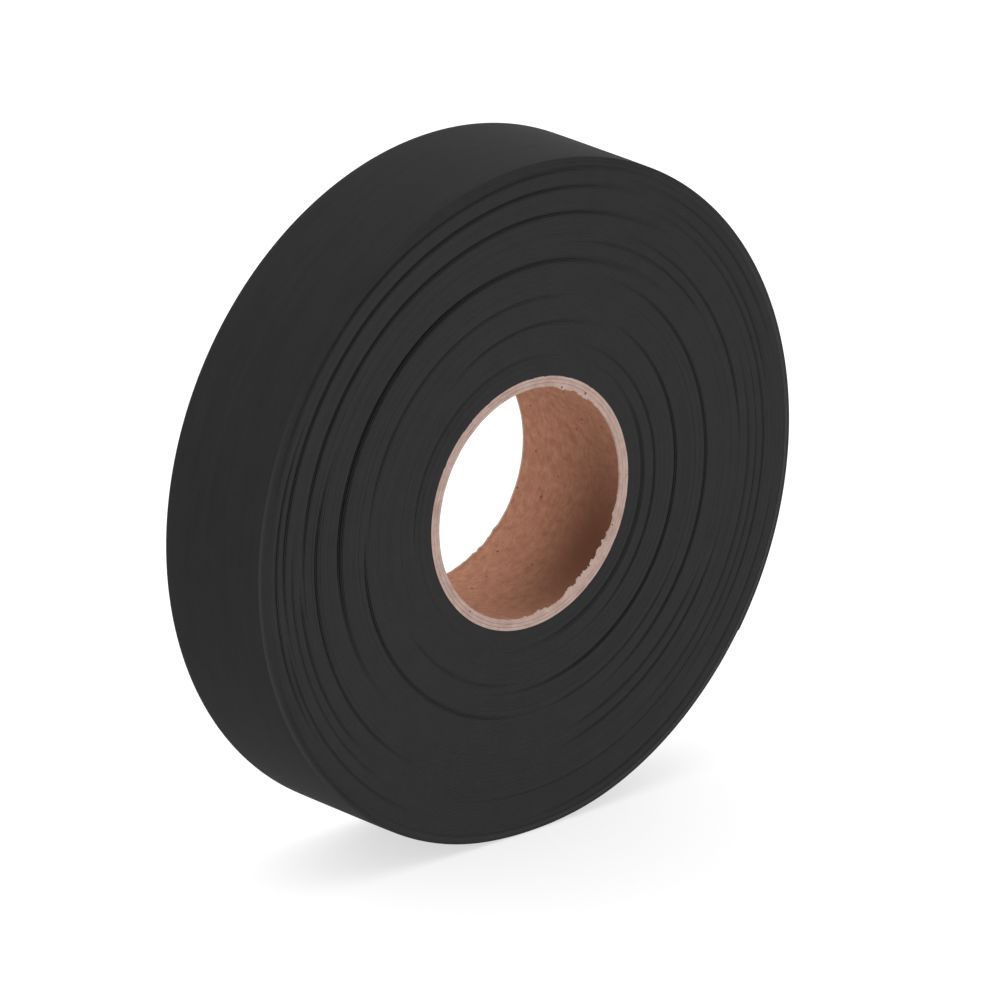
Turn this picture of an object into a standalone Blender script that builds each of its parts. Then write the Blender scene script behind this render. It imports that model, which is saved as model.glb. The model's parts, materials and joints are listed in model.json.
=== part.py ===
"""Roll of vinyl electrical tape on a paperboard core, standing on its edge.

The roll's axis lies along Y, its front face looks towards -Y, and the origin is on the
surface it stands on, under the middle of the roll. Units are metres and degrees.

One long strip of tape is wound on the core. It is held here as eight solid runs of turns,
its outermost turn, and the free end, which lifts off the roll as a chain of short lengths.
"""

import math

import bpy

# ---------------------------------------------------------------- driving dimensions
ROLL_RADIUS = 0.046
TAPE_WIDTH = 0.019
TAPE_THICKNESS = 0.00018
CORE_BORE_RADIUS = 0.0156
CORE_RADIUS = 0.017
CORE_PLIES = ("core_inner_ply", "core_middle_ply", "core_outer_ply")

# Where one run of turns ends and the next begins, as shares of the roll's radius.
RUN_BREAKS = (0.428, 0.548, 0.640, 0.706, 0.820, 0.905, 0.960)
RUN_NAMES = (
    "wound_turns_1_on_core",
    "wound_turns_2",
    "wound_turns_3",
    "wound_turns_4",
    "wound_turns_5",
    "wound_turns_6",
    "wound_turns_7",
    "wound_turns_8_outer",
)
RUN_EDGE_CHAMFER = 0.00025

# The free end of the strip: short lengths hinged one to the next.
TAIL_LENGTHS = 4
TAIL_LENGTH_ANGLE = 9.0
TAIL_START_ANGLE = 0.0
TAIL_GAP_ANGLE = 0.2

# Clearances between solids that touch on the real roll.
RING_GAP = 0.00002
TURN_GAP = 0.00006
UNDER_TURN_GAP = 0.00003

# Round shapes have this many facets, with a corner straight down.
FACETS = 60
FACET_ANGLE = 360.0 / FACETS
DOWN = 270.0

# ---------------------------------------------------------------- worked-out dimensions
TAIL_ANGLE = TAIL_LENGTHS * TAIL_LENGTH_ANGLE
LAP_ANGLE = 360.0 - TAIL_ANGLE
HINGE_RADIUS = ROLL_RADIUS - TAPE_THICKNESS / 2
WOUND_RADIUS = ROLL_RADIUS - 2 * TAPE_THICKNESS - TURN_GAP - UNDER_TURN_GAP


def outer_turn_radius(angle):
    """Outside of the last turn: one thickness lower by the time it passes under the free end."""
    drop = (TAPE_THICKNESS + TURN_GAP) * min(angle / LAP_ANGLE, 1.0)
    return ROLL_RADIUS - drop


# The roll stands on one pressed facet each side of straight down.
PRESSED = math.cos(math.radians(FACET_ANGLE))
STANDING_RADIUS = outer_turn_radius(DOWN)
AXIS_HEIGHT = STANDING_RADIUS * PRESSED


# ---------------------------------------------------------------- materials
def plain_material(name, colour, roughness):
    material = bpy.data.materials.new(name)
    material.use_nodes = True
    shader = material.node_tree.nodes["Principled BSDF"]
    shader.inputs["Base Color"].default_value = (*colour, 1.0)
    shader.inputs["Roughness"].default_value = roughness
    shader.inputs["Metallic"].default_value = 0.0
    material.diffuse_color = (*colour, 1.0)
    return material


def vinyl(name):
    return plain_material(name + "_vinyl", (0.028, 0.028, 0.029), 0.5)


def kraft_paper(name):
    return plain_material(name + "_kraft", (0.30, 0.17, 0.11), 0.85)


def grey_board(name):
    return plain_material(name + "_board", (0.42, 0.35, 0.32), 0.9)


# ---------------------------------------------------------------- scene helpers
def clear_scene():
    for old in list(bpy.data.objects):
        bpy.data.objects.remove(old, do_unlink=True)


def new_collection(name):
    collection = bpy.data.collections.new(name)
    bpy.context.scene.collection.children.link(collection)
    return collection


def add_axis_empty(collection):
    """The roll's own frame: X to the right, Y up, and Z out of the front face."""
    empty = bpy.data.objects.new("roll_axis", None)
    empty.location = (0.0, 0.0, AXIS_HEIGHT)
    empty.rotation_euler = (math.radians(90.0), 0.0, 0.0)
    collection.objects.link(empty)
    return empty


def add_object(name, data, parent, collection, location=(0.0, 0.0, 0.0)):
    obj = bpy.data.objects.new(name, data)
    obj.parent = parent
    obj.location = location
    collection.objects.link(obj)
    return obj


def evaluated_mesh(obj):
    """The object's shape with its modifiers in it, shaded smooth between its sharp edges."""
    bpy.context.view_layer.update()
    graph = bpy.context.evaluated_depsgraph_get()
    mesh = bpy.data.meshes.new_from_object(obj.evaluated_get(graph))
    mesh.shade_smooth()
    mesh.set_sharp_from_angle(angle=math.radians(30.0))
    return mesh


# ---------------------------------------------------------------- shapes
def ring_profile(inner, outer, chamfer):
    """Half-section of a ring, down its outer side and back up the inner one."""
    half = TAPE_WIDTH / 2
    if not chamfer:
        return [(inner, half), (outer, half), (outer, -half), (inner, -half)]
    return [
        (inner, half),
        (outer - chamfer, half),
        (outer, half - chamfer),
        (outer, chamfer - half),
        (outer - chamfer, -half),
        (inner, -half),
    ]


def turned_ring(name, inner, outer, chamfer, parent, collection):
    """A ring turned about the roll's axis."""
    points = ring_profile(inner, outer, chamfer)
    outline = bpy.data.meshes.new(name + "_profile")
    edges = [(i, (i + 1) % len(points)) for i in range(len(points))]
    outline.from_pydata([(x, 0.0, z) for x, z in points], edges, [])
    ring = add_object(name, outline, parent, collection)
    screw = ring.modifiers.new("turn", "SCREW")
    screw.angle = math.radians(360.0)
    screw.steps = FACETS
    screw.render_steps = FACETS
    screw.use_merge_vertices = True
    screw.merge_threshold = 1e-6
    ring.data = evaluated_mesh(ring)
    ring.modifiers.clear()
    return ring


def press_flat(ring, from_radius):
    """Raise the lowest corners onto the chord between their neighbours, outside this radius."""
    for vertex in ring.data.vertices:
        radius = math.hypot(vertex.co.x, vertex.co.y)
        if radius > from_radius:
            vertex.co.y = max(vertex.co.y, -radius * PRESSED)


def strip_point(radius, angle, standing_radius):
    """A point of the strip's outline, pressed level where the roll stands."""
    turn = math.radians(angle)
    height = radius * math.sin(turn)
    if abs(angle - DOWN) <= FACET_ANGLE:
        height = -standing_radius * PRESSED
    return (radius * math.cos(turn), height)


def strip_outline(angles, outer_radius):
    """The strip seen edge on: out along its outer side, and back along the inner one."""
    outer = [strip_point(outer_radius(a), a, STANDING_RADIUS) for a in angles]
    inner = [
        strip_point(outer_radius(a) - TAPE_THICKNESS, a, STANDING_RADIUS - TAPE_THICKNESS)
        for a in reversed(angles)
    ]
    return outer + inner


def strip_curve(name, outline, origin):
    """A flat outline as wide as the tape, with its points measured from the origin given."""
    curve = bpy.data.curves.new(name, "CURVE")
    curve.dimensions = "2D"
    curve.fill_mode = "BOTH"
    curve.extrude = TAPE_WIDTH / 2
    spline = curve.splines.new("POLY")
    spline.points.add(len(outline) - 1)
    for point, (x, y) in zip(spline.points, outline):
        point.co = (x - origin[0], y - origin[1], 0.0, 1.0)
    spline.use_cyclic_u = True
    return curve


def hinge_point(length_index):
    """Middle of the strip's thickness, where one length of the free end meets the next."""
    turn = math.radians(TAIL_START_ANGLE - length_index * TAIL_LENGTH_ANGLE)
    return (HINGE_RADIUS * math.cos(turn), HINGE_RADIUS * math.sin(turn))


# ---------------------------------------------------------------- the pieces
def make_core(axis, collection):
    """Three plies of board, wound and glued one on the other, and cut off square."""
    ply = (CORE_RADIUS - CORE_BORE_RADIUS + RING_GAP) / len(CORE_PLIES)
    for index, name in enumerate(CORE_PLIES):
        inner = CORE_BORE_RADIUS + index * ply
        ring = turned_ring(name, inner, inner + ply - RING_GAP, 0.0, axis, collection)
        finish = kraft_paper if index == 0 else grey_board
        ring.data.materials.append(finish(name))


def make_wound_turns(axis, collection):
    """The strip's inner turns, as solid rings that meet at slight steps in the face."""
    inner = CORE_RADIUS + RING_GAP
    outers = [share * ROLL_RADIUS for share in RUN_BREAKS] + [WOUND_RADIUS]
    for name, outer in zip(RUN_NAMES, outers):
        ring = turned_ring(name, inner, outer, RUN_EDGE_CHAMFER, axis, collection)
        if outer == WOUND_RADIUS:
            press_flat(ring, WOUND_RADIUS - 2 * RUN_EDGE_CHAMFER)
        ring.data.materials.append(vinyl(name))
        inner = outer + RING_GAP


def make_outer_turn(axis, collection):
    """The last whole turn. It slips under the free end, one thickness lower."""
    start = TAIL_START_ANGLE + TAIL_GAP_ANGLE / 2
    angles = [start] + [FACET_ANGLE * i for i in range(1, FACETS + 1)]
    outline = strip_outline(angles, outer_turn_radius)
    curve = strip_curve("outer_turn", outline, (0.0, 0.0))
    curve.materials.append(vinyl("outer_turn"))
    return add_object("outer_turn", curve, axis, collection)


def make_free_end(axis, collection):
    """Short lengths of the strip, each with its origin on the hinge that it lifts about."""
    parent = axis
    parent_hinge = (0.0, 0.0)
    for index in range(TAIL_LENGTHS):
        name = f"free_end_{index + 1}"
        hinge = hinge_point(index)
        near = TAIL_START_ANGLE - index * TAIL_LENGTH_ANGLE - TAIL_GAP_ANGLE / 2
        far = near - TAIL_LENGTH_ANGLE + TAIL_GAP_ANGLE
        angles = [far, (near + far) / 2, near]
        outline = strip_outline(angles, lambda angle: ROLL_RADIUS)
        curve = strip_curve(name, outline, hinge)
        curve.materials.append(vinyl(name))
        offset = (hinge[0] - parent_hinge[0], hinge[1] - parent_hinge[1], 0.0)
        parent = add_object(name, curve, parent, collection, offset)
        parent_hinge = hinge


def main():
    clear_scene()
    collection = new_collection("electrical_tape_roll")
    axis = add_axis_empty(collection)
    make_core(axis, collection)
    make_wound_turns(axis, collection)
    make_outer_turn(axis, collection)
    make_free_end(axis, collection)


main()
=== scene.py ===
# %% [markdown]
# # A roll of black vinyl electrical tape
#
# This lesson builds the looks of a tape roll around a finished mechanical model. Everything
# here is in metres, with Z up, and the roll's axis lies along Y.
#
# The roll stands on its edge. One strip of soft black film is wound about 160 times round a
# short tube of board, and its free end can be lifted off on the right-hand side.

import json
import math

import bpy
import numpy as np
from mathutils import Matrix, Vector

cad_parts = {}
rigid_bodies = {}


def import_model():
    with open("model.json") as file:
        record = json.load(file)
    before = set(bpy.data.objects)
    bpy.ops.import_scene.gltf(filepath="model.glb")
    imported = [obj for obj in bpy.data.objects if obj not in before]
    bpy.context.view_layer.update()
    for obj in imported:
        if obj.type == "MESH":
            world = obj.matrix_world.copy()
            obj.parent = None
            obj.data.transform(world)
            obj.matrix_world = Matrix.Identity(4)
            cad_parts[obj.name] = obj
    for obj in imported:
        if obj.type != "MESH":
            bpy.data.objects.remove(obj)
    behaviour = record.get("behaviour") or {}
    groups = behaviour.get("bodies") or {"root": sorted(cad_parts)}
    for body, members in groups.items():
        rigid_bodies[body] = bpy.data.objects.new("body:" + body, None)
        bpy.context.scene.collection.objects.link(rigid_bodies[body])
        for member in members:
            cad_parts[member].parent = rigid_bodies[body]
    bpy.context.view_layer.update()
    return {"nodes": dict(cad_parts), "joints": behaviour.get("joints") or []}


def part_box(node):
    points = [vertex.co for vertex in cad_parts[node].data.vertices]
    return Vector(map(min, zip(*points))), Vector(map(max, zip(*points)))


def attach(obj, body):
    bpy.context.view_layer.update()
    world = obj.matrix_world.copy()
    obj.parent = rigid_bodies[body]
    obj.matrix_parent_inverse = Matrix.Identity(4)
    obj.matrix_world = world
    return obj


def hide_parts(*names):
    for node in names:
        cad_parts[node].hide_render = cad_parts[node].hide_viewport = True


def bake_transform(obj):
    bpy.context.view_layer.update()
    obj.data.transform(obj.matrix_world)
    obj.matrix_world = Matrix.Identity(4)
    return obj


for old in list(bpy.data.objects):
    bpy.data.objects.remove(old, do_unlink=True)
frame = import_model()

# %% [markdown]
# ## Sizes
#
# A lesson stays readable when a size is written once. The roll's radius, the height of its
# axis and the width of the tape are read from the model, so that the looks always fit it.
# The thickness of the film and how many turns that makes follow from there.

# %% Read the main sizes from the model
MM = 0.001
ROLL_RADIUS, HALF_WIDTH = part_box("outer_turn")[1][:2]
lining_low, lining_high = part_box("core_inner_ply")
AXIS_HEIGHT = (lining_low[2] + lining_high[2]) / 2
CORE_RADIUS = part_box("core_outer_ply")[1][0]
PLY_GAP = 0.02 * MM
PLY_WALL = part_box("core_middle_ply")[1][0] - lining_high[0] - PLY_GAP
BORE_RADIUS = lining_high[0] - PLY_WALL

FILM_THICKNESS = 0.175 * MM
TURN_PITCH = 0.18 * MM
TURNS = int((ROLL_RADIUS - CORE_RADIUS) / TURN_PITCH)
print("roll radius", round(ROLL_RADIUS / MM, 2), "mm,", TURNS, "turns of tape")

# %% [markdown]
# ## Camera
#
# The roll is seen from the left and a little above, from far away through a very long lens.
# A long lens keeps the two round edges of the roll nearly parallel, which suits an object
# that is judged by its proportions. The camera is placed by two angles and a distance. It is
# then moved a little sideways and down, so that the roll sits in the middle of the frame.

# %% Place the camera
VIEW_AZIMUTH = math.radians(-41.8)
VIEW_ELEVATION = math.radians(20.3)
VIEW_DISTANCE = 40 * ROLL_RADIUS
FRAME_SHARE = 0.3565
AIM_RIGHT = 0.0522 * ROLL_RADIUS
AIM_DOWN = 0.0432 * ROLL_RADIUS
SENSOR = 36.0

to_camera = Vector((
    math.sin(VIEW_AZIMUTH) * math.cos(VIEW_ELEVATION),
    -math.cos(VIEW_AZIMUTH) * math.cos(VIEW_ELEVATION),
    math.sin(VIEW_ELEVATION),
))
view_right = Vector((math.cos(VIEW_AZIMUTH), math.sin(VIEW_AZIMUTH), 0.0))
view_up = to_camera.cross(view_right)
roll_centre = Vector((0.0, 0.0, AXIS_HEIGHT))

camera_data = bpy.data.cameras.new("studio_camera")
camera_data.sensor_width = SENSOR
camera_data.lens = FRAME_SHARE * VIEW_DISTANCE / ROLL_RADIUS * SENSOR
camera_data.clip_end = 20.0
camera = bpy.data.objects.new("studio_camera", camera_data)
aim_offset = view_right * AIM_RIGHT - view_up * AIM_DOWN
camera.location = roll_centre + to_camera * VIEW_DISTANCE + aim_offset
camera.rotation_mode = "QUATERNION"
camera.rotation_quaternion = (-to_camera).to_track_quat("-Z", "Y")
bpy.context.scene.collection.objects.link(camera)
bpy.context.scene.camera = camera
bpy.context.scene.view_settings.view_transform = "Standard"
print("lens", round(camera_data.lens), "mm at", round(VIEW_DISTANCE, 2), "m")

# %% [markdown]
# ## Floor and light
#
# Black things are shaped by what they reflect. Small goods are often shown on a light table,
# a white floor lit from below, because it swallows the shadow. Here the floor glows a little
# and a soft lamp hangs overhead. A wide lamp behind the roll brightens its top and the far
# end of the bore. Small hard lamps would leave sharp spots, so both lamps are large.


# %% Make the stage
def soft_lamp(name, place, width, height, brightness):
    """A lamp aimed at the roll's centre. Brightness 1 looks as bright as white paper."""
    data = bpy.data.lights.new(name, "AREA")
    data.shape = "RECTANGLE"
    data.size = width
    data.size_y = height
    data.energy = brightness * math.pi * width * height
    lamp = bpy.data.objects.new(name, data)
    lamp.location = Vector(place)
    lamp.rotation_mode = "QUATERNION"
    lamp.rotation_quaternion = (roll_centre - Vector(place)).to_track_quat("-Z", "Y")
    bpy.context.scene.collection.objects.link(lamp)
    return lamp


FLOOR_SIZE = 8.0
FLOOR_DROP = 0.02 * MM
FLOOR_GREY = 0.42
FLOOR_GLOW = 0.63
SKY_GLOW = 0.75


def light_table():
    """A pale floor that also glows a little. Its glow and the light on it add up to white."""
    material = bpy.data.materials.new("pale_floor")
    material.use_nodes = True
    shader = material.node_tree.nodes["Principled BSDF"]
    shader.inputs["Base Color"].default_value = (FLOOR_GREY, FLOOR_GREY, FLOOR_GREY, 1.0)
    shader.inputs["Roughness"].default_value = 0.9
    shader.inputs["Specular IOR Level"].default_value = 0.2
    shader.inputs["Emission Color"].default_value = (1.0, 1.0, 1.0, 1.0)
    shader.inputs["Emission Strength"].default_value = FLOOR_GLOW
    return material


bpy.ops.mesh.primitive_plane_add(size=FLOOR_SIZE, location=(0.0, 0.0, -FLOOR_DROP))
floor = bpy.context.object
floor.name = "pale_floor"
floor.data.materials.append(light_table())

sky = bpy.data.worlds.new("studio_sky")
sky.use_nodes = True
sky.node_tree.nodes["Background"].inputs["Color"].default_value = (1.0, 1.0, 1.0, 1.0)
sky.node_tree.nodes["Background"].inputs["Strength"].default_value = SKY_GLOW
bpy.context.scene.world = sky

soft_lamp("lamp_above", (0.0, 0.0, 1.2), width=1.3, height=1.3, brightness=1.3)
soft_lamp("lamp_behind", (0.0, 1.3, 0.65), width=3.2, height=1.4, brightness=1.4)
print("stage ready:", floor.name)

# %% [markdown]
# ## Shader helpers
#
# Every finish below is a Principled shader fed by a few textures. Short helpers keep the
# node code readable: they add a node, set its sockets by name, do one sum, start a group, or
# blend colours. A group is a recipe that several materials share, each with its own numbers.


# %% Helpers for node trees
def add_node(tree, kind, **settings):
    node = tree.nodes.new(kind)
    for key, value in settings.items():
        setattr(node, key, value)
    return node


def set_inputs(node, **values):
    """Sets sockets by name, with spaces written as underscores."""
    for key, value in values.items():
        node.inputs[key.replace("_", " ")].default_value = value
    return node


def math_node(tree, operation, first, second):
    """A Math node. Each input is a socket or a number."""
    node = add_node(tree, "ShaderNodeMath", operation=operation)
    for slot, value in zip(node.inputs, (first, second)):
        if isinstance(value, (int, float)):
            slot.default_value = value
        else:
            tree.links.new(value, slot)
    return node.outputs[0]


def new_group(name, inputs, outputs):
    """An empty node group with number or vector inputs, and its two end nodes."""
    tree = bpy.data.node_groups.new(name, "ShaderNodeTree")
    for label, kind, value in inputs:
        socket = tree.interface.new_socket(label, in_out="INPUT", socket_type=kind)
        if value is not None:
            socket.default_value = value
    for label, kind in outputs:
        tree.interface.new_socket(label, in_out="OUTPUT", socket_type=kind)
    return tree, add_node(tree, "NodeGroupInput"), add_node(tree, "NodeGroupOutput")


def use_group(tree, group, vector, **values):
    node = add_node(tree, "ShaderNodeGroup", node_tree=group)
    tree.links.new(vector, node.inputs["Vector"])
    return set_inputs(node, **values)


def colour_ramp(tree, factor, stops):
    node = add_node(tree, "ShaderNodeValToRGB")
    ramp = node.color_ramp
    while len(ramp.elements) < len(stops):
        ramp.elements.new(0.5)
    for element, (place, colour) in zip(ramp.elements, stops):
        element.position = place
        element.color = (*colour, 1.0)
    tree.links.new(factor, node.inputs["Fac"])
    return node.outputs["Color"]


def mix_colours(tree, factor, first, second):
    """Blends two colours. Each is a socket or an (r, g, b) value."""
    node = add_node(tree, "ShaderNodeMix", data_type="RGBA")
    tree.links.new(factor, node.inputs["Factor"])
    for label, value in (("A", first), ("B", second)):
        slot = [s for s in node.inputs if s.name == label and s.type == "RGBA"][0]
        if isinstance(value, tuple):
            slot.default_value = (*value, 1.0)
        else:
            tree.links.new(value, slot)
    return [s for s in node.outputs if s.type == "RGBA"][0]


FLOAT, VECTOR = "NodeSocketFloat", "NodeSocketVector"

# %% [markdown]
# ## Shared surface effects
#
# Four effects are used more than once.
#
# * **Grain** is the fine unevenness that every calendered film has.
# * **Fibres** are short thin strands, stretched along one direction, for paper and board.
# * **Streaks** are faint lines that follow the winding, left by the rollers and the knives.
# * **Dust** is a sparse mask of tiny specks. On black tape they are pale, on paper dark.


# %% Build the four shared groups
def grain_group():
    """Two sizes of noise, blended. Coarse is the share of the larger one."""
    tree, start, end = new_group(
        "fine_grain",
        [("Vector", VECTOR, None), ("Scale", FLOAT, 900.0), ("Coarse", FLOAT, 0.5)],
        [("Height", FLOAT)],
    )
    fine = add_node(tree, "ShaderNodeTexNoise")
    set_inputs(fine, Detail=3.0, Roughness=0.6)
    coarse = add_node(tree, "ShaderNodeTexNoise")
    set_inputs(coarse, Detail=2.0, Roughness=0.5)
    for node in (fine, coarse):
        tree.links.new(start.outputs["Vector"], node.inputs["Vector"])
    wide_scale = math_node(tree, "MULTIPLY", start.outputs["Scale"], 0.12)
    tree.links.new(start.outputs["Scale"], fine.inputs["Scale"])
    tree.links.new(wide_scale, coarse.inputs["Scale"])
    share = math_node(tree, "MULTIPLY", coarse.outputs["Fac"], start.outputs["Coarse"])
    rest = math_node(tree, "SUBTRACT", 1.0, start.outputs["Coarse"])
    whole = math_node(tree, "ADD", share, math_node(tree, "MULTIPLY", fine.outputs["Fac"], rest))
    tree.links.new(whole, end.inputs["Height"])
    return tree


def fibre_group():
    """Height is noise stretched along the vector's first axis. Mottle is wider, in soft clouds."""
    tree, start, end = new_group(
        "paper_fibres",
        [("Vector", VECTOR, None), ("Scale", FLOAT, 600.0), ("Stretch", FLOAT, 6.0)],
        [("Height", FLOAT), ("Mottle", FLOAT)],
    )
    squeeze = add_node(tree, "ShaderNodeCombineXYZ")
    slow = math_node(tree, "DIVIDE", 1.0, start.outputs["Stretch"])
    tree.links.new(slow, squeeze.inputs["X"])
    set_inputs(squeeze, Y=1.0, Z=1.0)
    stretched = add_node(tree, "ShaderNodeVectorMath", operation="MULTIPLY")
    tree.links.new(start.outputs["Vector"], stretched.inputs[0])
    tree.links.new(squeeze.outputs[0], stretched.inputs[1])
    along = add_node(tree, "ShaderNodeTexNoise")
    set_inputs(along, Detail=4.0, Roughness=0.65, Distortion=0.4)
    mottle = add_node(tree, "ShaderNodeTexNoise")
    set_inputs(mottle, Detail=3.0, Roughness=0.6)
    tree.links.new(stretched.outputs[0], along.inputs["Vector"])
    tree.links.new(start.outputs["Vector"], mottle.inputs["Vector"])
    wide_scale = math_node(tree, "MULTIPLY", start.outputs["Scale"], 0.3)
    tree.links.new(start.outputs["Scale"], along.inputs["Scale"])
    tree.links.new(wide_scale, mottle.inputs["Scale"])
    tree.links.new(along.outputs["Fac"], end.inputs["Height"])
    tree.links.new(mottle.outputs["Fac"], end.inputs["Mottle"])
    return tree


def streak_group():
    """Noise drawn out along the winding: it changes fast across the tape and slowly round it."""
    tree, start, end = new_group(
        "winding_streaks",
        [("Vector", VECTOR, None), ("Scale", FLOAT, 900.0), ("Stretch", FLOAT, 16.0)],
        [("Height", FLOAT)],
    )
    slow = math_node(tree, "DIVIDE", 1.0, start.outputs["Stretch"])
    squeeze = add_node(tree, "ShaderNodeCombineXYZ")
    tree.links.new(slow, squeeze.inputs["X"])
    tree.links.new(slow, squeeze.inputs["Z"])
    set_inputs(squeeze, Y=1.0)
    stretched = add_node(tree, "ShaderNodeVectorMath", operation="MULTIPLY")
    tree.links.new(start.outputs["Vector"], stretched.inputs[0])
    tree.links.new(squeeze.outputs[0], stretched.inputs[1])
    streaks = add_node(tree, "ShaderNodeTexNoise")
    set_inputs(streaks, Detail=3.0, Roughness=0.6)
    tree.links.new(stretched.outputs[0], streaks.inputs["Vector"])
    tree.links.new(start.outputs["Scale"], streaks.inputs["Scale"])
    tree.links.new(streaks.outputs["Fac"], end.inputs["Height"])
    return tree


def dust_group():
    """A mask that is 1 on a few small specks. Size is a share of the cells' width."""
    tree, start, end = new_group(
        "dust_specks",
        [
            ("Vector", VECTOR, None), ("Scale", FLOAT, 260.0),
            ("Size", FLOAT, 0.1), ("Share", FLOAT, 0.3),
        ],
        [("Mask", FLOAT)],
    )
    cells = add_node(tree, "ShaderNodeTexVoronoi")
    tree.links.new(start.outputs["Vector"], cells.inputs["Vector"])
    tree.links.new(start.outputs["Scale"], cells.inputs["Scale"])
    near = math_node(tree, "LESS_THAN", cells.outputs["Distance"], start.outputs["Size"])
    pick = add_node(tree, "ShaderNodeSeparateColor")
    tree.links.new(cells.outputs["Color"], pick.inputs[0])
    chosen = math_node(tree, "LESS_THAN", pick.outputs[0], start.outputs["Share"])
    tree.links.new(math_node(tree, "MULTIPLY", near, chosen), end.inputs["Mask"])
    return tree


GRAIN, FIBRES, STREAKS, DUST = grain_group(), fibre_group(), streak_group(), dust_group()
print("shared groups:", GRAIN.name, FIBRES.name, STREAKS.name, DUST.name)

# %% [markdown]
# ## Vinyl film
#
# Electrical tape is soft vinyl filled with carbon black. Its outside is calendered between
# rollers, which leaves it nearly smooth and almost matt, with faint streaks along the strip.
# Its cut edges are a little shinier, because the knife draws the vinyl out. Its inside
# carries the tacky adhesive, the glossiest of the three. One material for the whole strip
# would hide this, so each face of the strip takes one of three.
#
# A painted highlight lightens the rim of the roll on one side, where its rounded corner catches
# the light. It is a mask worked out from the distance to the axis, so it follows the rim exactly.


# %% Make the three finishes of the tape
def start_material(name, roughness, specular):
    """A material with its Principled shader, and the object's own coordinates."""
    material = bpy.data.materials.new(name)
    material.use_nodes = True
    tree = material.node_tree
    shader = tree.nodes["Principled BSDF"]
    shader.inputs["Roughness"].default_value = roughness
    shader.inputs["Specular IOR Level"].default_value = specular
    place = add_node(tree, "ShaderNodeTexCoord").outputs["Object"]
    return material, tree, shader, place


def bump(tree, shader, height, strength, distance):
    node = add_node(tree, "ShaderNodeBump")
    set_inputs(node, Strength=strength, Distance=distance)
    tree.links.new(height, node.inputs["Height"])
    tree.links.new(node.outputs["Normal"], shader.inputs["Normal"])


def varied_roughness(tree, shader, factor, low, high):
    spread = add_node(tree, "ShaderNodeMapRange")
    set_inputs(spread, To_Min=low, To_Max=high)
    tree.links.new(factor, spread.inputs["Value"])
    tree.links.new(spread.outputs[0], shader.inputs["Roughness"])


# where round the roll the painted highlight on the rim is strongest
HIGHLIGHT_ANGLE = math.radians(192.0)


def rim_highlight(tree, place):
    """A mask of painted highlight along the rim, strongest on the left and low down, where the
    rounded corner catches the light.
    """
    parts = add_node(tree, "ShaderNodeSeparateXYZ")
    tree.links.new(place, parts.inputs[0])
    height = math_node(tree, "SUBTRACT", parts.outputs["Z"], AXIS_HEIGHT)
    across = parts.outputs["X"]
    squares = [math_node(tree, "MULTIPLY", part, part) for part in (across, height)]
    outwards = math_node(tree, "SQRT", math_node(tree, "ADD", *squares), 0.0)
    near = add_node(tree, "ShaderNodeMapRange", interpolation_type="SMOOTHSTEP")
    set_inputs(near, From_Min=ROLL_RADIUS - 0.75 * MM, From_Max=ROLL_RADIUS - 0.30 * MM)
    tree.links.new(outwards, near.inputs["Value"])
    leaning = [
        math_node(tree, "MULTIPLY", across, math.cos(HIGHLIGHT_ANGLE)),
        math_node(tree, "MULTIPLY", height, math.sin(HIGHLIGHT_ANGLE)),
    ]
    side = add_node(tree, "ShaderNodeMapRange", interpolation_type="SMOOTHSTEP")
    set_inputs(side, From_Min=0.66 * ROLL_RADIUS, From_Max=0.98 * ROLL_RADIUS)
    tree.links.new(math_node(tree, "ADD", *leaning), side.inputs["Value"])
    return math_node(tree, "MULTIPLY", near.outputs[0], side.outputs[0])


DUST_COLOUR = (0.036, 0.0355, 0.035)


def film_material(
    name, dark, light, rough, specular, grain_scale, bump_depth, dust_share, streaky, rim_light=None
):
    """Vinyl or adhesive. streaky is the share that streaks have in its tone, next to grain. The
    last argument, if given, is the colour of a painted highlight along the rim.
    """
    material, tree, shader, place = start_material(name, rough[0], specular)
    grain = use_group(tree, GRAIN, place, Scale=grain_scale, Coarse=0.55)
    dust = use_group(tree, DUST, place, Scale=300.0, Size=0.045, Share=dust_share)
    streaks = use_group(tree, STREAKS, place, Scale=900.0, Stretch=16.0)
    height = math_node(
        tree, "ADD",
        math_node(tree, "MULTIPLY", grain.outputs["Height"], 1.0 - streaky),
        math_node(tree, "MULTIPLY", streaks.outputs["Height"], streaky),
    )
    tone = colour_ramp(tree, height, [(0.35, dark), (0.65, light)])
    # painted highlight: the rim is lightened where its rounded corner catches the light
    if rim_light:
        tone = mix_colours(tree, rim_highlight(tree, place), tone, rim_light)
    dusty = mix_colours(tree, dust.outputs["Mask"], tone, DUST_COLOUR)
    tree.links.new(dusty, shader.inputs["Base Color"])
    varied_roughness(tree, shader, grain.outputs["Height"], *rough)
    bump(tree, shader, grain.outputs["Height"], 0.5, bump_depth)
    return material


FILM_FACE = film_material(
    "vinyl_film_satin", (0.0168, 0.0168, 0.0170), (0.0216, 0.0216, 0.0218),
    (0.66, 0.78), 0.035, 1500.0, 0.02 * MM, 0.03, 0.45,
)
# the cut edge's last colour is the painted highlight along the rim
FILM_EDGE = film_material(
    "vinyl_cut_edge", (0.0147, 0.0147, 0.0149), (0.0206, 0.0206, 0.0208),
    (0.60, 0.74), 0.22, 2600.0, 0.03 * MM, 0.05, 0.15, (0.0300, 0.0300, 0.0303),
)
ADHESIVE = film_material(
    "rubber_adhesive", (0.010, 0.010, 0.010), (0.013, 0.013, 0.013),
    (0.22, 0.4), 0.5, 900.0, 0.02 * MM, 0.08, 0.4,
)
TAPE_FINISHES = (FILM_FACE, FILM_EDGE, ADHESIVE)
print("tape finishes:", ", ".join(m.name for m in TAPE_FINISHES))

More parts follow.
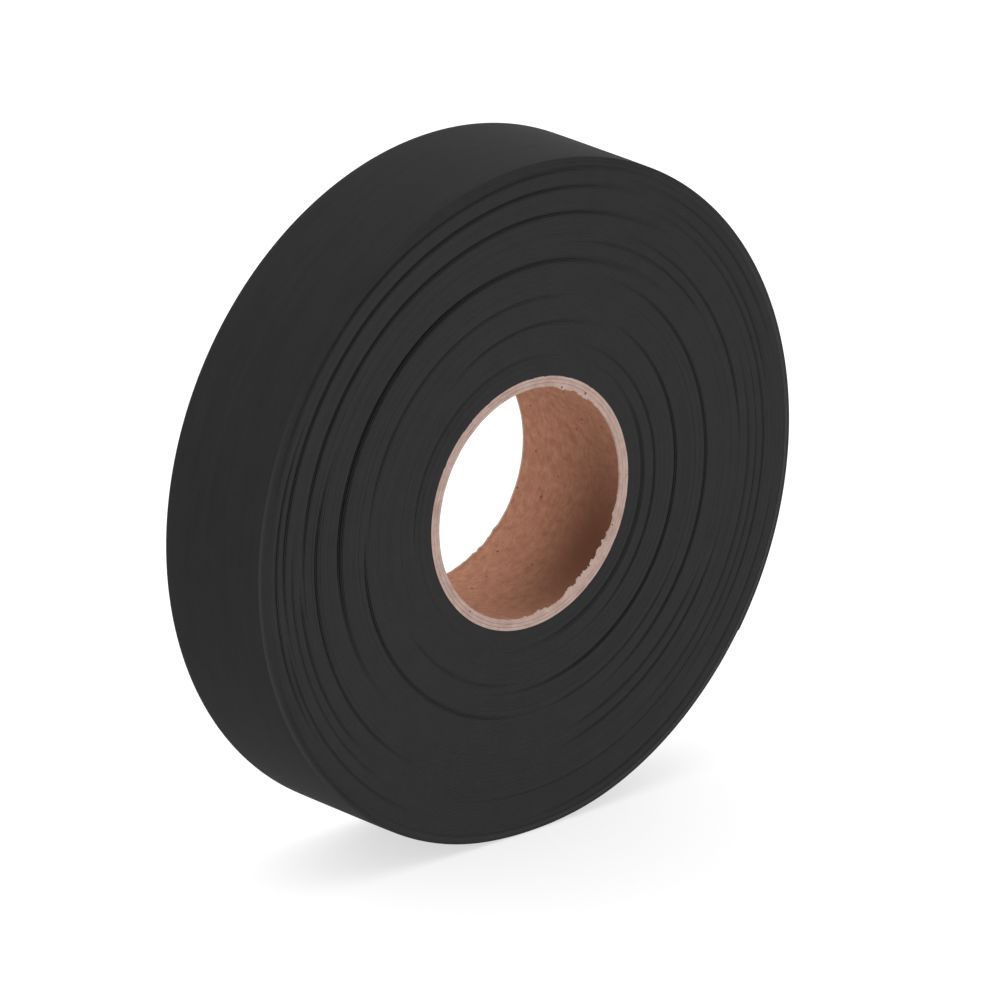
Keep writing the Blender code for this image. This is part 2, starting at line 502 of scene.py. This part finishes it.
# %% [markdown]
# ## The relief of the wound face
#
# A wound face is never flat. Where the winding tension changed, a few turns sank below their
# neighbours and left a groove that runs part of the way round and fades out. Each groove is
# described by where it lies, how far round it runs, and how deep and wide it is. Everything
# else is small: every turn lands a few hundredths of a millimetre off the last one.

# %% Describe the grooves
# share of the roll's radius, drift over its run, first and last angle, depth and width in mm
GROOVES = (
    (0.975, 0.002, 60, 182, 0.23, 0.28),
    (0.980, 0.002, 190, 240, 0.16, 0.22),
    (0.944, 0.000, 148, 216, 0.18, 0.24),
    (0.920, -0.006, 48, 206, 0.31, 0.31),
    (0.846, -0.002, 40, 198, 0.35, 0.32),
    (0.856, 0.000, 176, 228, 0.18, 0.24),
    (0.799, 0.004, 150, 246, 0.26, 0.26),
    (0.710, 0.000, 30, 234, 0.35, 0.36),
    (0.713, 0.000, 96, 192, 0.22, 0.30),
    (0.608, 0.001, 62, 186, 0.18, 0.32),
    (0.620, 0.004, 168, 272, 0.32, 0.30),
    (0.667, -0.002, 284, 436, 0.23, 0.26),
    (0.552, 0.001, 250, 432, 0.27, 0.27),
    (0.471, -0.001, 288, 440, 0.15, 0.28),
    (0.424, 0.001, 258, 410, 0.17, 0.28),
    (0.437, 0.000, 60, 200, 0.16, 0.30),
    (0.864, -0.004, 230, 396, 0.10, 0.22),
    (0.886, -0.003, 306, 436, 0.09, 0.22),
    (0.832, -0.002, 290, 386, 0.09, 0.22),
    (0.942, -0.006, 262, 360, 0.12, 0.24),
    (0.945, 0.002, 12, 72, 0.13, 0.24),
    (0.909, 0.002, 2, 66, 0.14, 0.22),
    (0.795, 0.000, -4, 68, 0.15, 0.24),
    (0.765, -0.002, 274, 344, 0.13, 0.24),
    (0.762, 0.000, 28, 80, 0.16, 0.22),
    (0.728, 0.002, 276, 336, 0.14, 0.22),
    (0.628, 0.000, 268, 338, 0.11, 0.24),
    (0.526, -0.014, 54, 130, 0.16, 0.28),
    (0.530, 0.000, 210, 266, 0.16, 0.28),
    (0.925, 0.000, 184, 248, 0.16, 0.22),
    (0.886, 0.000, 168, 240, 0.14, 0.22),
)
# the back was pressed against the slitting knife's guide, so it has fewer and shallower ones
BACK_GROOVES = (
    (0.955, 0.003, 210, 330, 0.16, 0.26),
    (0.905, -0.004, 10, 150, 0.22, 0.30),
    (0.842, 0.002, 150, 300, 0.18, 0.28),
    (0.760, -0.002, 330, 470, 0.26, 0.34),
    (0.700, 0.003, 100, 235, 0.20, 0.30),
    (0.622, 0.000, 260, 410, 0.18, 0.28),
    (0.548, -0.002, 60, 200, 0.22, 0.32),
    (0.470, 0.001, 200, 350, 0.16, 0.28),
    (0.415, 0.000, 20, 120, 0.14, 0.26),
)
print(len(GROOVES), "grooves in the front face,", len(BACK_GROOVES), "in the back")


# %% Work out how deep the face lies at each point of the strip
FADE_SHARE = 0.55
# grooves far out swing inwards a little near the top: by which share of the radius, and where
SWING, SWING_ANGLE, SWING_WIDTH = 0.012, 106.0, 26.0


def fade(share):
    """From 0 at the end of a groove to 1 in its middle part. share is 1 at either end."""
    rise = np.clip((1.0 - np.abs(share)) / FADE_SHARE, 0.0, 1.0)
    return rise * rise * (3.0 - 2.0 * rise)


def groove_depth(grooves, radius, angle):
    """Depth of all the grooves together, in metres, at radii and angles given as arrays."""
    depth = np.zeros_like(radius)
    for share, drift, first, last, deep, wide in grooves:
        middle, half = (first + last) / 2, (last - first) / 2
        along = ((angle - middle + 180.0) % 360.0 - 180.0) / half
        swing = SWING * np.exp(-(((angle - SWING_ANGLE) / SWING_WIDTH) ** 2))
        swing *= np.clip((share - 0.66) / 0.3, 0.0, 1.0)
        centre = ROLL_RADIUS * (share + drift * along - swing)
        across = (radius - centre) / (wide * MM)
        depth += deep * MM * fade(along) * np.exp(-across * across)
    return depth


KNOTS = 4096


def wander(place, seed):
    """Smooth noise between -1 and 1 along a line: random values, joined by soft curves."""
    knots = np.random.RandomState(seed).uniform(-1.0, 1.0, KNOTS)
    whole = np.floor(place).astype(int)
    part = place - whole
    part = part * part * (3.0 - 2.0 * part)
    return knots[whole % KNOTS] * (1.0 - part) + knots[(whole + 1) % KNOTS] * part


RIM_WIDTH = 1.7 * MM
RIM_CURVE = 1.7
# how far the rim draws back, and how deep the faces lie behind the model's on average, in mm
FRONT_SHOULDER, BACK_SHOULDER = 0.5, 0.4
FRONT_LEVEL, BACK_LEVEL = 0.09, 0.10
TURN_STEP = 0.014
FRONT_SEED, BACK_SEED = 11, 57


def shoulder(radius, depth):
    """The last few turns draw back from the face, which rounds the rim over."""
    share = np.clip((radius - ROLL_RADIUS + RIM_WIDTH) / RIM_WIDTH, 0.0, 1.0)
    return depth * MM * share ** RIM_CURVE


def front_recess(radius, angle, turn):
    """How far the strip's front edge lies behind the model's front face."""
    every_turn = TURN_STEP * wander(turn * 2.7, FRONT_SEED)
    groups = 0.022 * wander(turn / 2.6 + 40.0, FRONT_SEED + 1)
    broad = 0.035 * wander(turn / 17.0 + np.sin(np.radians(angle)) * 0.6, FRONT_SEED + 2)
    steps = (FRONT_LEVEL + every_turn + groups + broad) * MM
    return steps + shoulder(radius, FRONT_SHOULDER) + groove_depth(GROOVES, radius, angle)


def back_recess(radius, angle, turn):
    """The same for the back edge."""
    every_turn = TURN_STEP * wander(turn * 2.7, BACK_SEED)
    groups = 0.026 * wander(turn / 3.3 + 40.0, BACK_SEED + 1)
    broad = 0.04 * wander(turn / 13.0 + np.cos(np.radians(angle)) * 0.8, BACK_SEED + 2)
    steps = (BACK_LEVEL + every_turn + groups + broad) * MM
    return steps + shoulder(radius, BACK_SHOULDER) + groove_depth(BACK_GROOVES, radius, angle)


sample_angle = np.linspace(0.0, 360.0, 721)
sample_radius = np.full_like(sample_angle, 0.71 * ROLL_RADIUS)
sample_depth = groove_depth(GROOVES, sample_radius, sample_angle)
print("deepest groove:", round(sample_depth.max() / MM, 2), "mm")

# %% [markdown]
# ## Winding the strip
#
# The face could be a flat disc with a bump texture, but then its outline, its grooves and
# its shadows would all be painted on. Winding the real strip costs only a loop: walk along
# the spiral from the outside in, and at each step place the eight corners of the film's
# cross-section. The corners of the cut edges are bevelled by a hundredth of a millimetre,
# which is what draws one fine line per turn.
#
# Seen from the front, the strip runs counter-clockwise from its free end inwards. A place on
# it is given in turns: 0 where the free end leaves the roll, 1 after one full turn, and so on.

# %% The path of the strip
EDGE_BEVEL = 0.010 * MM
START_RADIUS = ROLL_RADIUS - 0.05 * MM
# the flat at the bottom, where the roll stands: how many turns deep and how many degrees wide
SETTLED_TURNS = 70.0
SETTLED_ANGLE = 13.0
BOTTOM = 0.75
SETTLED_DEPTH = START_RADIUS - BOTTOM * TURN_PITCH - AXIS_HEIGHT + 0.01 * MM


def strip_radius(turn):
    """Outside radius of the strip. The free end lies on the last turn at full radius."""
    return START_RADIUS - TURN_PITCH * np.maximum(turn, 0.0)


def on_roll(radius, turn, y):
    """Points in the model's frame. The roll's weight has pressed its lowest part in a little."""
    angle = turn * 2.0 * math.pi
    off_bottom = ((turn - BOTTOM + 0.5) % 1.0 - 0.5) * 360.0 / SETTLED_ANGLE
    settled = SETTLED_DEPTH * np.clip(1.0 - (turn - BOTTOM) / SETTLED_TURNS, 0.0, 1.0)
    radius = radius - settled * np.exp(-off_bottom * off_bottom)
    return np.stack([radius * np.cos(angle), y, AXIS_HEIGHT + radius * np.sin(angle)], axis=-1)


def edges(outer, inner, turn):
    """Where the strip's front and back edges lie, at its outer side and then at its inner."""
    angle = (turn * 360.0) % 360.0
    front = -HALF_WIDTH + front_recess(outer, angle, turn)
    back = HALF_WIDTH - back_recess(outer, angle, turn)
    slant = shoulder(outer, 1.0) - shoulder(inner, 1.0)
    return front, back, front - FRONT_SHOULDER * slant, back + BACK_SHOULDER * slant


def section(turn):
    """The corners of the cross-section, in order round it: shape (places, 8, 3)."""
    outer = strip_radius(turn)
    inner = outer - FILM_THICKNESS
    front, back, front_in, back_in = edges(outer, inner, turn)
    bevel = EDGE_BEVEL
    corners = (
        (outer, front + bevel), (outer - bevel, front),
        (inner + bevel, front_in), (inner, front_in + bevel),
        (inner, back_in - bevel), (inner + bevel, back_in),
        (outer - bevel, back), (outer, back - bevel),
    )
    return np.stack([on_roll(radius, turn, y) for radius, y in corners], axis=1)


# %% [markdown]
# A swept strip is a grid: one row of corners per place along the strip, and one column per
# corner. The helpers below turn such a grid into a closed mesh. They are used for the wound
# turns, the outermost turn, the free end and the plies of the core alike. The corners of each
# face are listed so that the face looks outwards, which a slicer or a game engine relies on.


# %% Turn rows of corners into a closed mesh
def add_piece(name, points, faces, finishes, finish_of_face, smooth_limit=40.0):
    """A mesh object from arrays, shaded smooth except across sharp edges."""
    mesh = bpy.data.meshes.new(name)
    mesh.from_pydata(points.reshape(-1, 3).tolist(), [], faces)
    for finish in finishes:
        mesh.materials.append(finish)
    mesh.polygons.foreach_set("material_index", finish_of_face)
    mesh.update()
    mesh.shade_smooth()
    mesh.set_sharp_from_angle(angle=math.radians(smooth_limit))
    piece = bpy.data.objects.new(name, mesh)
    bpy.context.scene.collection.objects.link(piece)
    return piece


def sweep_faces(rows, columns, closed_ends=True):
    """Quads between rows of corners, then one face at each end, all facing outwards."""
    row, column = np.meshgrid(np.arange(rows - 1), np.arange(columns), indexing="ij")
    after = (column + 1) % columns
    quads = np.stack([
        row * columns + column, (row + 1) * columns + column,
        (row + 1) * columns + after, row * columns + after,
    ], axis=-1).reshape(-1, 4)
    faces = quads.tolist()
    if closed_ends:
        faces.append(list(range(columns)))
        faces.append([(rows - 1) * columns + c for c in range(columns)][::-1])
    return faces


WOUND_STEP = 1.15 * MM
# which finish each side of the section takes: 0 is film, 1 is cut edge, 2 is adhesive
WOUND_SIDES = [1, 1, 1, 2, 1, 1, 1, 0]
CUT_ENDS = [1, 1]


def wind_strip(name, first, last):
    """The strip from one place to another, both given in turns from the free end."""
    middle = strip_radius((first + last) / 2)
    steps = int(round((last - first) * 2.0 * math.pi * middle / WOUND_STEP))
    turn = np.linspace(first, last, steps + 1)
    corners = section(turn)
    faces = sweep_faces(steps + 1, corners.shape[1])
    return add_piece(name, corners, faces, TAPE_FINISHES, WOUND_SIDES * steps + CUT_ENDS)


# %% [markdown]
# The mechanical model divides the wound tape into eight rings. Each ring is replaced by the
# real turns that it stands for. A run ends after a whole number of turns, so each run begins
# exactly where the one outside it stopped, and the strip stays one unbroken line.


# %% Wind the eight runs
WOUND_NODES = sorted(name for name in frame["nodes"] if name.startswith("wound_turns"))


def wind_runs():
    last = float(TURNS)
    for node in WOUND_NODES:
        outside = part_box(node)[1][0]
        first = round((ROLL_RADIUS - outside) / TURN_PITCH)
        if node == WOUND_NODES[-1]:
            first = 1
        run = wind_strip(node.replace("wound_turns", "wound_tape"), float(first), last)
        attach(run, "roll")
        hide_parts(node)
        print(run.name, ":", int(last - first), "turns,", len(run.data.polygons), "faces")
        last = float(first)


wind_runs()

# %% [markdown]
# ## The outermost turn
#
# This is the only turn whose broad side shows, so it gets more corners across its width. Soft
# film wound under tension bulges a little in the middle and thins towards its edges, and it
# takes on faint bands from the turns beneath it. The bands follow the winding direction. A
# bump texture could draw the bands, but then the outline against the light would be straight.

# %% A strip with many corners across its width
ACROSS = 26
BROAD_STEP = 0.9 * MM
EDGE_FALL, BAND_HEIGHT, BAND_SEED = 0.030, 0.006, 91


def broad_section(turn, lift):
    """Like section(), with a finely divided outer side. lift raises places off the roll."""
    outer = strip_radius(turn) + lift
    inner = outer - FILM_THICKNESS
    front, back, front_in, back_in = edges(outer, inner, turn)
    bevel = EDGE_BEVEL
    corners = [(outer - 4.5 * bevel, front)]
    for step in range(ACROSS + 1):
        share = step / ACROSS
        y = front + bevel + (back - front - 2 * bevel) * share
        fall = EDGE_FALL * abs(2.0 * share - 1.0) ** 6
        bands = BAND_HEIGHT * (1.0 + wander(share * 9.0 + turn * 0.7, BAND_SEED))
        corners.append((outer - (fall + bands) * MM, y))
    corners.append((outer - 4.5 * bevel, back))
    corners += [(inner + bevel, back_in), (inner, back_in - bevel)]
    corners += [(inner, front_in + bevel), (inner + bevel, front_in)]
    rows = np.stack([on_roll(radius, turn, y) for radius, y in corners], axis=1)
    return rows[:, ::-1]


def broad_strip(name, first, last, lift=np.zeros_like):
    """The strip with a broad side that shows. lift tells how far it stands off the roll."""
    steps = int(round((last - first) * 2.0 * math.pi * ROLL_RADIUS / BROAD_STEP))
    turn = np.linspace(first, last, steps + 1)
    rows = broad_section(turn, lift(turn))
    columns = rows.shape[1]
    faces = sweep_faces(steps + 1, columns)
    # counted from the inner front corner backwards: edge, adhesive, edge, edge, film, edge
    by_column = [1, 2, 1, 1, 1] + [0] * ACROSS + [1]
    by_column += [1] * (columns - len(by_column))
    return add_piece(name, rows, faces, TAPE_FINISHES, by_column * steps + CUT_ENDS)


# %% Lay the outermost turn
LIFT_START = 6.0 / 360.0
outer_turn = broad_strip("outermost_turn", LIFT_START, 1.0)
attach(outer_turn, "roll")
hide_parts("outer_turn")
print("outermost turn:", len(outer_turn.data.polygons), "faces")

# %% [markdown]
# ## The free end
#
# The end of the strip can lift off the roll and curl away; here its last few millimetres stand
# off it slightly. The mechanical model holds it as four short lengths on hinges. Film doesn't
# fold at hinges, so each piece here spans one hinge. Neighbouring pieces meet in the middle of
# a length.

# %% Make the four pieces of the free end
HINGES = frame["joints"]
LENGTH_TURN = 9.0 / 360.0
# where the free end's tip lies, four lengths past the point where it leaves the roll, in turns
END_TURN = -4 * LENGTH_TURN
# each piece reaches this far into the one before it, so that no light shows between them
OVERLAP = 0.06 * MM / (2.0 * math.pi * ROLL_RADIUS)
# the last part of the free end that has let go, and how far its tip stands off
END_SHARE, END_GAP = 0.28, 0.06 * MM


def end_lift(turn):
    """The last few millimetres have let go of the roll and stand off it slightly."""
    share = np.clip((turn / END_TURN - 1.0) / END_SHARE + 1.0, 0.0, 1.0)
    return END_GAP * share ** 2


def make_free_end():
    breaks = [LIFT_START] + [-(i + 0.5) * LENGTH_TURN for i in range(3)] + [END_TURN]
    for index, joint in enumerate(HINGES):
        near = breaks[index] + (OVERLAP if index else 0.0)
        piece = broad_strip(f"free_end_piece_{index + 1}", breaks[index + 1], near, end_lift)
        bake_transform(piece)
        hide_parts(f"free_end_{index + 1}")
        print(piece.name, "bends between", joint["parent"], "and", joint["child"])


make_free_end()

# %% [markdown]
# ## Paper and board
#
# The core is a tube of board, made by winding strips of paper in a spiral and gluing them.
# Inside it shows smooth brown kraft paper. A darker patch low on the right of the bore, near
# the front, is painted shade, where the bore lies in shade. The cut ends show the raw board,
# paler and pinkish grey, because the saw tears the fibres open. Both have long fibres, so both
# use the fibre group, stretched along the winding. For that the coordinates are bent round the
# tube first.


# %% Make the paper finishes
def ring_coordinates(tree):
    """Coordinates that follow the tube: along its turn, along its axis, and outwards."""
    place = add_node(tree, "ShaderNodeTexCoord").outputs["Object"]
    parts = add_node(tree, "ShaderNodeSeparateXYZ")
    tree.links.new(place, parts.inputs[0])
    height = math_node(tree, "SUBTRACT", parts.outputs["Z"], AXIS_HEIGHT)
    angle = math_node(tree, "ARCTAN2", height, parts.outputs["X"])
    along = math_node(tree, "MULTIPLY", angle, BORE_RADIUS)
    square = math_node(
        tree, "ADD",
        math_node(tree, "MULTIPLY", height, height),
        math_node(tree, "MULTIPLY", parts.outputs["X"], parts.outputs["X"]),
    )
    outwards = math_node(tree, "SQRT", square, 0.0)
    joined = add_node(tree, "ShaderNodeCombineXYZ")
    for label, value in (("X", along), ("Y", parts.outputs["Y"]), ("Z", outwards)):
        tree.links.new(value, joined.inputs[label])
    return joined.outputs[0]


# where the painted shade's middle lies round the bore and along it, and its two half-widths
SHADE_ROUND, SHADE_ALONG = -10.5 * MM, -7.5 * MM
SHADE_LONG, SHADE_WIDE = 16.0 * MM, 8.0 * MM


def painted_bore_shade(tree, around):
    """A soft mask of painted shade on the lining, low on the right near the front, where the bore
    lies in shade.
    """
    parts = add_node(tree, "ShaderNodeSeparateXYZ")
    tree.links.new(around, parts.inputs[0])
    from_middle = math_node(tree, "SUBTRACT", parts.outputs["X"], SHADE_ROUND)
    from_front = math_node(tree, "SUBTRACT", parts.outputs["Y"], SHADE_ALONG)
    off_angle = math_node(tree, "DIVIDE", from_middle, SHADE_LONG)
    off_depth = math_node(tree, "DIVIDE", from_front, SHADE_WIDE)
    reach = math_node(
        tree, "ADD",
        math_node(tree, "MULTIPLY", off_angle, off_angle),
        math_node(tree, "MULTIPLY", off_depth, off_depth),
    )
    return math_node(tree, "POWER", math.e, math_node(tree, "MULTIPLY", reach, -1.0))


def paper_material(name, stops, speck_colour, roughness, scale, depth, speck_share, shade=None):
    """Paper or board. stops colour its fibres, and shade is the colour of the painted shade."""
    material, tree, shader, _ = start_material(name, roughness[0], 0.08)
    around = ring_coordinates(tree)
    fibres = use_group(tree, FIBRES, around, Scale=scale, Stretch=2.0)
    specks = use_group(tree, DUST, around, Scale=900.0, Size=0.16, Share=speck_share)
    blend = math_node(
        tree, "ADD",
        math_node(tree, "MULTIPLY", fibres.outputs["Height"], 0.5),
        math_node(tree, "MULTIPLY", fibres.outputs["Mottle"], 0.5),
    )
    tone = colour_ramp(tree, blend, stops)
    # painted shade: the lining darkens low on the right near the front of the bore
    if shade:
        tone = mix_colours(tree, painted_bore_shade(tree, around), tone, shade)
    flecked = mix_colours(tree, specks.outputs["Mask"], tone, speck_colour)
    tree.links.new(flecked, shader.inputs["Base Color"])
    varied_roughness(tree, shader, fibres.outputs["Height"], *roughness)
    bump(tree, shader, fibres.outputs["Height"], 0.7, depth)
    return material


# the kraft's last colour is painted shade, for the dark part of the bore
KRAFT = paper_material(
    "kraft_lining",
    [(0.34, (0.31, 0.142, 0.085)), (0.5, (0.39, 0.192, 0.123)), (0.66, (0.47, 0.247, 0.165))],
    (0.17, 0.065, 0.035), (0.86, 0.97), 2600.0, 0.04 * MM, 0.10, (0.108, 0.045, 0.026),
)
BOARD_END = paper_material(
    "board_cut_end",
    [(0.34, (0.39, 0.268, 0.232)), (0.5, (0.475, 0.342, 0.296)), (0.66, (0.54, 0.404, 0.355))],
    (0.17, 0.09, 0.06), (0.88, 0.97), 1900.0, 0.08 * MM, 0.07,
)
BOARD_SIDE = paper_material(
    "board_side",
    [(0.34, (0.30, 0.20, 0.15)), (0.5, (0.36, 0.25, 0.19)), (0.66, (0.42, 0.30, 0.23))],
    (0.2, 0.12, 0.09), (0.85, 0.95), 1000.0, 0.05 * MM, 0.06,
)
CORE_FINISHES = (KRAFT, BOARD_END, BOARD_SIDE)
print("paper finishes:", ", ".join(m.name for m in CORE_FINISHES))

# %% [markdown]
# ## The core's plies
#
# Three plies make the tube. Each is a ring whose wall is divided finely enough to carry two
# marks of how it was made: the spiral seam, where the paper's edges meet along a helix, and
# the burr at the ends, where the saw pushed torn fibres over the inner edge. Both are real
# geometry, because the burr shows against the light and a bump texture wouldn't.

# %% Build one ply as a detailed ring
AROUND = 720
ALONG = 36
SEAM_PITCH = 62.0 * MM
SEAM_WIDTH = 0.22 * MM
SEAM_DEPTH = 0.07 * MM
# how far the ends lie inside the model's, how they are rounded, and how rough the saw left them
END_INSET = 0.03 * MM
BORE_ROUND, OUTER_ROUND = 0.04 * MM, 0.012 * MM
END_ROUGH, WALL_ROUGH, LINING_WAVE = 0.035 * MM, 0.03 * MM, 0.02 * MM


def seam_dip(angle, y, start):
    """Depth of the spiral seam at angles in radians and places along the axis."""
    run = (angle - start) / (2.0 * math.pi) * SEAM_PITCH
    off = (run - y + SEAM_PITCH / 2) % SEAM_PITCH - SEAM_PITCH / 2
    return SEAM_DEPTH * np.exp(-(off / SEAM_WIDTH) ** 2)


def burr(angle, seed, reach):
    """How far torn fibres stand over the inner edge, most of it low on the right."""
    turn = np.degrees(angle) % 360.0
    low_right = np.exp(-((turn - 306.0) / 40.0) ** 2)
    top_right = 0.5 * np.exp(-((turn - 58.0) / 18.0) ** 2)
    clumps = wander(turn / 6.7, seed + 2) + 0.7 * wander(turn / 2.3, seed)
    tufts = np.clip(clumps, -0.2, 1.0)
    hairs = 0.7 * np.abs(wander(turn / 0.8, seed + 1)) ** 1.5 - 0.1
    return reach * np.clip(0.05 + (low_right + top_right) * (0.25 + tufts + hairs), 0.0, 1.3)


def ply_ring(name, inner, outer, seam_start, finish, front_reach, seed):
    """A closed ring: up the bore, over one end, down the outside and over the other end."""
    angle = np.linspace(0.0, 2.0 * math.pi, AROUND, endpoint=False)
    half = HALF_WIDTH - END_INSET
    wall = outer - inner
    columns = []
    end_rough = END_ROUGH * (1.0 + wander(np.degrees(angle) / 3.1, seed + 5)) / 2

    def add(radius, y):
        columns.append((radius + 0.0 * angle, y + 0.0 * angle))

    lip = burr(angle, seed, front_reach)
    back_lip = burr(angle + 2.0, seed + 9, 0.6 * front_reach)
    add(inner + BORE_ROUND - lip, -half + end_rough)
    add(inner - lip * 1.05, -half + 0.10 * MM)
    add(inner - lip * 0.55, -half + 0.30 * MM)
    for step in range(ALONG + 1):
        y = -half + 0.5 * MM + (2 * half - 1.0 * MM) * step / ALONG
        wave = LINING_WAVE * wander(np.degrees(angle) / 11.0 + step * 0.35, seed + 3)
        add(inner + seam_dip(angle, y, seam_start) + np.abs(wave), y)
    add(inner - back_lip * 0.5, half - 0.30 * MM)
    add(inner - back_lip, half - 0.10 * MM)
    add(inner + BORE_ROUND - back_lip, half - end_rough)
    for share in (0.25, 0.5, 0.75):
        rough = WALL_ROUGH * (1.0 + wander(np.degrees(angle) / 1.3 + share * 50, seed + 6))
        add(inner + wall * share, half - rough)
    add(outer - OUTER_ROUND, half - end_rough)
    add(outer, half - 0.05 * MM)
    add(outer, -half + 0.05 * MM)
    add(outer - OUTER_ROUND, -half + end_rough)
    for share in (0.75, 0.5, 0.25):
        rough = WALL_ROUGH * (1.0 + wander(np.degrees(angle) / 1.3 + share * 50, seed + 7))
        add(inner + wall * share, -half + rough)
    points = np.stack([
        np.stack([r * np.cos(angle), y, AXIS_HEIGHT + r * np.sin(angle)], axis=-1)
        for r, y in columns
    ], axis=1)
    rows, count = points.shape[:2]
    faces = sweep_faces(rows + 1, count, closed_ends=False)
    faces = [[corner % (rows * count) for corner in face] for face in faces]
    # counted from the front lip: two of lip, the lining, then cut end but for the outer side
    by_column = [1, 1] + [finish] * (ALONG + 2)
    by_column += [1] * (count - len(by_column))
    by_column[count - 6] = 2
    return add_piece(name, points, faces, CORE_FINISHES, by_column * rows, 50.0)


def make_core():
    """The three plies, from the bore outwards. Only the inner one shows kraft paper."""
    plans = (
        ("core_inner_ply", 2.1, 0, 0.6 * MM),
        ("core_middle_ply", 3.4, 2, 0.0),
        ("core_outer_ply", 5.0, 2, 0.0),
    )
    inner = BORE_RADIUS
    for index, (node, seam, finish, reach) in enumerate(plans):
        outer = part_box(node)[1][0] + (0.0 if node == "core_outer_ply" else 0.9 * PLY_GAP)
        name, seed = node.replace("core", "board_core"), 200 + 20 * index
        ply = ply_ring(name, inner, outer, seam, finish, reach, seed)
        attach(ply, "roll")
        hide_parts(node)
        print(ply.name, "wall", round((outer - inner) / MM, 2), "mm")
        inner = outer + 0.1 * PLY_GAP


make_core()
